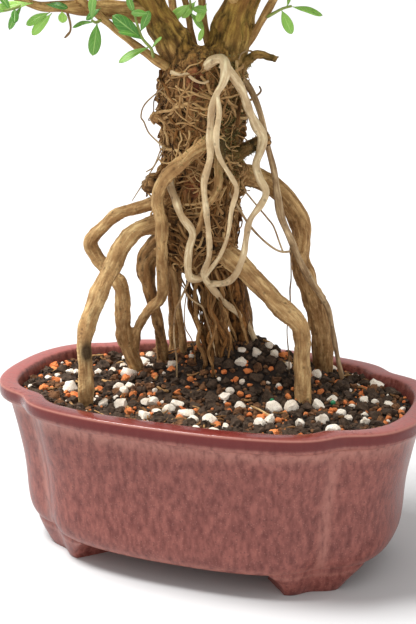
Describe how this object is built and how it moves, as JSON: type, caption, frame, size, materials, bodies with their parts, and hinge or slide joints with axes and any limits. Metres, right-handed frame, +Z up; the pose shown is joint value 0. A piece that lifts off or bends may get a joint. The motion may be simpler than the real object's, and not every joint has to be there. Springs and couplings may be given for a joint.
{
  "type": "serissa bonsai",
  "caption": "Serissa bonsai standing on exposed roots in a four-lobed glazed ceramic pot on bracket feet, with gritty potting mix and leafy shoots.",
  "frame": {"origin": "on the surface that the feet stand on, under the middle of the whole piece", "axes": "+Z up; +X along the pot's long side; the front of the tree faces -Y"},
  "size_m": [0.2554, 0.1854, 0.3621],
  "materials": {
    "pot_glaze": "gloss",
    "potting_mix": "matte",
    "bark": "matte",
    "leaf": "satin",
    "drain_mesh": "matte"
  },
  "bodies": {
    "root": {"drain_screen_left": "drain_mesh", "drain_screen_right": "drain_mesh", "pot": "pot_glaze", "shoot_01": "leaf", "shoot_02": "leaf", "shoot_03": "leaf", "shoot_04": "leaf", "shoot_05": "leaf", "shoot_06": "leaf", "shoot_07": "leaf", "shoot_08": "leaf", "shoot_09": "leaf", "shoot_10": "leaf", "shoot_11": "leaf", "shoot_12": "leaf", "shoot_13": "leaf", "shoot_14": "leaf", "shoot_15": "leaf", "shoot_16": "leaf", "shoot_17": "leaf", "shoot_18": "leaf", "shoot_19": "leaf", "shoot_20": "leaf", "shoot_21": "leaf", "shoot_22": "leaf", "shoot_23": "leaf", "shoot_24": "leaf", "shoot_25": "leaf", "shoot_26": "leaf", "shoot_27": "leaf", "shoot_28": "leaf", "shoot_29": "leaf", "shoot_30": "leaf", "shoot_31": "leaf", "shoot_32": "leaf", "shoot_33": "leaf", "shoot_34": "leaf", "shoot_35": "leaf", "shoot_between_stems": "leaf", "shoot_green_left": "leaf", "shoot_hang_left": "leaf", "shoot_light_right": "leaf", "shoot_tip_left": "leaf", "soil": "potting_mix", "tree_wood": "bark"}
  },
  "joints": []
}
